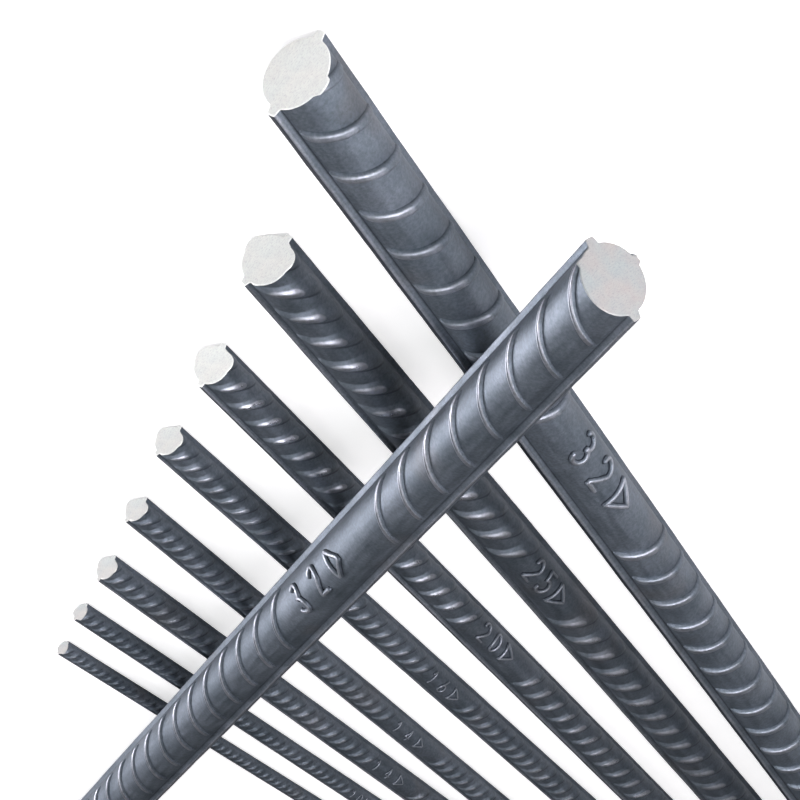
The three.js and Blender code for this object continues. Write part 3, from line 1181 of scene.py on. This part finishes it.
@dataclass(frozen=True)
class Softbox:
    """A rectangular soft lamp.

    place is where it hangs and aim where it points, in metres. size is its width and height in metres,
    glow how bright its face is, where 1 is as bright as the backdrop, and tint its colour.
    """

    name: str
    place: Triple
    aim: Triple
    size: tuple[float, float]
    glow: float
    tint: Triple = (1.0, 1.0, 1.0)

    def build(self) -> None:
        """Adds the lamp, whose power is its glow times pi times its area."""
        data = bpy.data.lights.new(self.name, "AREA")
        data.shape = "RECTANGLE"
        data.size, data.size_y = self.size
        data.color = self.tint
        data.energy = self.glow * np.pi * self.size[0] * self.size[1]
        obj = add_object(self.name, data)
        obj.location = self.place
        obj.rotation_mode = "QUATERNION"
        obj.rotation_quaternion = (Vector(self.aim) - Vector(self.place)).to_track_quat("-Z", "Y")


MAUVE = (1.0, 0.955, 0.98)
AIM = (-0.45, 0.10, 0.05)
LAMPS = (
    Softbox("right_strip", (-0.50, -1.50, 0.25), AIM, (0.6, 0.30), 34.5, MAUVE),
    Softbox("right_high", (-0.50, -1.50, 0.80), AIM, (0.6, 0.36), 13.5, MAUVE),
    Softbox("right_rear", (-1.46, -0.93, 0.85), AIM, (0.8, 0.30), 6.7, MAUVE),
    Softbox("left_low", (-0.50, 1.00, 0.20), AIM, (0.8, 0.20), 5.5, MAUVE),
    Softbox("left_middle", (-0.80, 1.00, 0.55), AIM, (0.8, 0.30), 7.0, MAUVE),
    Softbox("top_left", (-0.65, 0.55, 1.10), AIM, (0.4, 0.4), 4.5, MAUVE),
    Softbox("left_high", (-0.50, 1.00, 0.90), AIM, (0.8, 0.30), 9.0, MAUVE),
    Softbox("overhead", (-0.30, -0.40, 1.60), AIM, (1.0, 1.0), 1.9),
    Softbox("front", (-2.60, 0.90, 0.60), AIM, (1.3, 1.3), 1.2),
)


@dataclass
class Studio:
    """Plain pale floor and backdrop, soft lamps, and the camera.

    eye, ahead and upright are the camera's place in the layout's frame, its direction, and its upward
    direction. lens and sensor are in millimetres. ambient is the even light from all round. dim_side,
    bright_side and front_side are how bright mirrored surroundings are to the right, to the left and, on
    top of those, behind the near ends, and left_from and front_from where along Y and X of the direction
    those begin and are full. floor_half and floor_drop are the floor's half width and its depth under the
    bars, in metres, paint and floor_roughness its finish, floor_glow what the camera sees it shine with
    by itself, and floor_mirrored the same for what the bars mirror.
    """

    layout: Array
    eye: Triple = (-744.2, 427.6, 602.1)
    ahead: Triple = (0.79368, -0.39001, -0.46687)
    upright: Triple = (-0.47287, 0.08729, -0.87680)
    lens: float = 121.5
    sensor: float = 36.0
    ambient: float = 0.15
    dim_side: float = 0.03
    bright_side: float = 0.27
    front_side: float = 0.55
    left_from: tuple[float, float] = (0.2, 0.6)
    front_from: tuple[float, float] = (-0.9, -0.55)
    floor_half: float = 40.0
    floor_drop: float = 0.0002
    paint: Triple = (0.8, 0.8, 0.8)
    floor_roughness: float = 0.3
    floor_glow: float = 0.6
    floor_mirrored: float = 0.06

    def seen(self, sheet: NodeSheet) -> tuple[Socket, Socket]:
        """Tells rays apart.

        Args:
            sheet: the node tree to use.

        Returns:
            1 for rays from the camera, and 1 for those and for rays from a reflection and through glass.
        """
        path = sheet.add("ShaderNodeLightPath")
        camera = path.outputs["Is Camera Ray"]
        both = sheet.maths("MAXIMUM", camera, path.outputs["Is Glossy Ray"])
        return camera, sheet.maths("MAXIMUM", both, path.outputs["Is Transmission Ray"])

    def floor(self) -> None:
        """Builds the floor, a wide flat sheet just under the bars, white where no shadow falls."""
        half = self.floor_half
        mesh = bpy.data.meshes.new("floor")
        square = ((-half, -half), (half, -half), (half, half), (-half, half))
        corners = [(x, y, -self.floor_drop) for x, y in square]
        mesh.from_pydata(corners, [], [(0, 1, 2, 3)])
        material, sheet = new_material("floor_white")
        paint = sheet.wired("ShaderNodeBsdfPrincipled", Base_Color=self.paint, Roughness=self.floor_roughness)
        camera, seen = self.seen(sheet)
        direct = sheet.times(camera, self.floor_glow - self.floor_mirrored)
        shine = sheet.plus(direct, sheet.times(seen, self.floor_mirrored))
        glow = sheet.wired("ShaderNodeEmission", Strength=shine)
        both = sheet.add("ShaderNodeAddShader")
        sheet.put(both.inputs[0], paint)
        sheet.put(both.inputs[1], glow)
        sheet.close("ShaderNodeOutputMaterial", both.outputs[0])
        mesh.materials.append(material)
        add_object("floor", mesh)

    def sky(self) -> None:
        """Sets the world: an even grey light, and a white backdrop whose mirror image is dimmer.

        The mirror image is dim to the right, brighter to the left and brightest behind the near ends.
        """
        world = bpy.data.worlds.new("studio")
        world.use_nodes = True
        sheet = NodeSheet(world.node_tree)
        split = sheet.add("ShaderNodeSeparateXYZ")
        sheet.put(split.inputs[0], sheet.add("ShaderNodeTexCoord").outputs["Generated"])
        left = sheet.window(split.outputs["Y"], *self.left_from, self.dim_side, self.bright_side)
        front = sheet.window(split.outputs["X"], *self.front_from, self.front_side, 0.0)
        camera, seen = self.seen(sheet)
        backdrop = sheet.between(camera, sheet.plus(left, front), 1.0)
        strength = sheet.between(seen, self.ambient, backdrop)
        light = sheet.wired("ShaderNodeBackground", Strength=strength, Color=(1.0, 1.0, 1.0))
        sheet.close("ShaderNodeOutputWorld", light)
        bpy.context.scene.world = world

    def camera(self) -> None:
        """Places the camera: its axes are its right, its upward and its backward direction."""
        ahead = Vector(self.ahead).normalized()
        right = ahead.cross(Vector(self.upright)).normalized()
        upright = right.cross(ahead)
        place = Vector((self.layout + np.array(self.eye)) * MM)
        data = bpy.data.cameras.new("camera")
        data.lens = self.lens
        data.sensor_width = self.sensor
        data.clip_start = 0.01
        obj = add_object("camera", data)
        turn = Matrix((right, upright, -ahead)).transposed().to_4x4()
        obj.matrix_world = Matrix.Translation(place) @ turn
        bpy.context.scene.camera = obj

    def build(self) -> None:
        """Builds the whole studio."""
        self.floor()
        self.sky()
        for lamp in LAMPS:
            lamp.build()
        self.camera()
        bpy.context.scene.view_settings.view_transform = "Standard"
        LOG.info("studio: floor, backdrop, %d lamps and the camera", len(LAMPS))


class RebarBundle:
    """The nine bars of the bundle, laid where their solids are."""

    def __init__(self) -> None:
        """Lists the bars and finds the layout's origin from the thickest fanned bar's solid."""
        self.bars = self.fanned()
        thickest = self.bars[-1]
        low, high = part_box(thickest.node)
        end = [high.x / MM - BAR_LENGTH, (low.y + high.y) / 2 / MM]
        self.layout = np.array([end[0] - thickest.end[0], end[1] - thickest.end[1], 0.0])
        self.bars.append(self.crossing(thickest))

    def fanned(self) -> list[RibbedBar]:
        """Lists the bars on the ground, from thin to thick."""
        return [
            RibbedBar(
                "rebar_8mm", BarSize.MM_8, (524, -396), 9.7, 43, (0, 0), 6.95, 1.3, 0.054,
                (290, 330), RolledNumber("8", 299, 82, 4.2, 9.0, 0.8, 0.55), 1, cut_tone=0.575,
            ),
            RibbedBar(
                "rebar_10mm", BarSize.MM_10, (475, -357), 8.6, 40, (0, 0), 8.34, 2.2, 0.066,
                (286, 332), RolledNumber("10", 291, 84, 5.2, 8.0, 0.9, 0.6), 2, cut_tone=0.64,
            ),
            RibbedBar(
                "rebar_14mm_outer", BarSize.MM_14, (418, -309), 6.9, 36, (-2, 2), 11.0, 7.6, 0.09,
                (284, 345), RolledNumber("14", 291, 85, 7.2, 14.0, 1.3, 0.9), 3, rubbed_and_highlit=1.1, cut_tone=0.72,
            ),
            RibbedBar(
                "rebar_14mm_inner", BarSize.MM_14, (354, -257), 4.5, 41, (-2, 0), 10.9, 6.4, 0.09,
                (287, 346), RolledNumber("14", 293, 85, 7.2, 14.0, 1.3, 0.9), 4, rubbed_and_highlit=1.1, cut_tone=0.80,
            ),
            RibbedBar(
                "rebar_16mm", BarSize.MM_16, (284, -202), 4.1, 43, (-1, 4), 12.3, 7.6, 0.10,
                (280, 336), RolledNumber("16", 289, 85, 8.2, 13.5, 1.4, 1.0), 5, rubbed_and_highlit=1.25, cut_tone=0.86,
            ),
            RibbedBar(
                "rebar_20mm", BarSize.MM_20, (212, -141.5), 2.7, 28, (2, 6), 17.8, 12.2, 0.14,
                (288, 352), RolledNumber("20", 297, 86, 10.4, 15.0, 2.0, 1.3), 6, 0.9,
                rubbed_and_highlit=1.5, cut_tone=1.03,
            ),
            RibbedBar(
                "rebar_25mm", BarSize.MM_25, (129, -74), 1.2, 45, (1, 6), 22.0, 12.9, 0.175,
                (288, 354), RolledNumber("25", 297, 88, 12.5, 16.0, 2.4, 1.6), 7, 0.82,
                rubbed_and_highlit=1.5, cut_tone=0.97,
            ),
            RibbedBar(
                "rebar_32mm", BarSize.MM_32, (-1.7, 0.8), 0.0, 31.5, (-9, 5), 29.0, -1.6, 0.14,
                (275, 392), RolledNumber("32", 295, 90, 16.0, 25.0, 3.2, 1.9), 8, 1.06,
                near_line=(62, 80, 165, 175), far_line=(38, 55, 115, 135), rub_and_highlight_span=(0, 1, 85, 125),
                flank_power=0.4, rib_tail=0.5, blunt=8.0, long_rib_foot_shade=0.75, flank_rub_and_highlight=(0.85, 0.3),
                rubbed_and_highlit=0.92, cut_tone=0.98,
            ),
        ]

    def crossing(self, under: RibbedBar) -> LyingAcross:
        """Describes the bar that lies across the others."""
        return LyingAcross(
            "rebar_32mm_crossing", BarSize.MM_32, (106.5, 95.3), -42.0, 44, (11, 0), 34.4, 14.2, 0.28,
            (260, 418), RolledNumber("32", 386, 90, 15.0, 29.0, 3.2, 1.9), 9, 0.95,
            marked_row=Row.CLOCKWISE, rib_start=18.0, rib_stop=146.0, rib_thin=0.35, rib_slim=0.74,
            blunt=8.0, far_line=(22, 40, 130, 142), rub_and_highlight_span=(0, 1, 178, 179), split=(62, 90), rubbed_and_highlit=1.35,
            crisp_below=True, long_rib_foot_shade=0.6, top_shade=0.25, flank_rub_and_highlight=(0.3, 0.15), edge_rub_and_highlight=(0.7, 0.1),
            cut_tone=0.375, under=under,
        )

    def build(self) -> None:
        """Builds every bar and gives the hidden solids the same finish."""
        steel = MillScale().material()
        bright = SawCut().material()
        for bar in self.bars:
            bar.lay(self.layout)
            bar.build(steel, bright)
        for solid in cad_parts.values():
            solid.data.materials.clear()
            solid.data.materials.append(steel)


def main() -> None:
    """Builds the bundle and the studio round it, in order."""
    logging.basicConfig(level=logging.INFO, format="%(name)s %(message)s")
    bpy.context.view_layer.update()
    bundle = RebarBundle()
    bundle.build()
    Studio(bundle.layout).build()


if __name__ == "__main__":
    main()
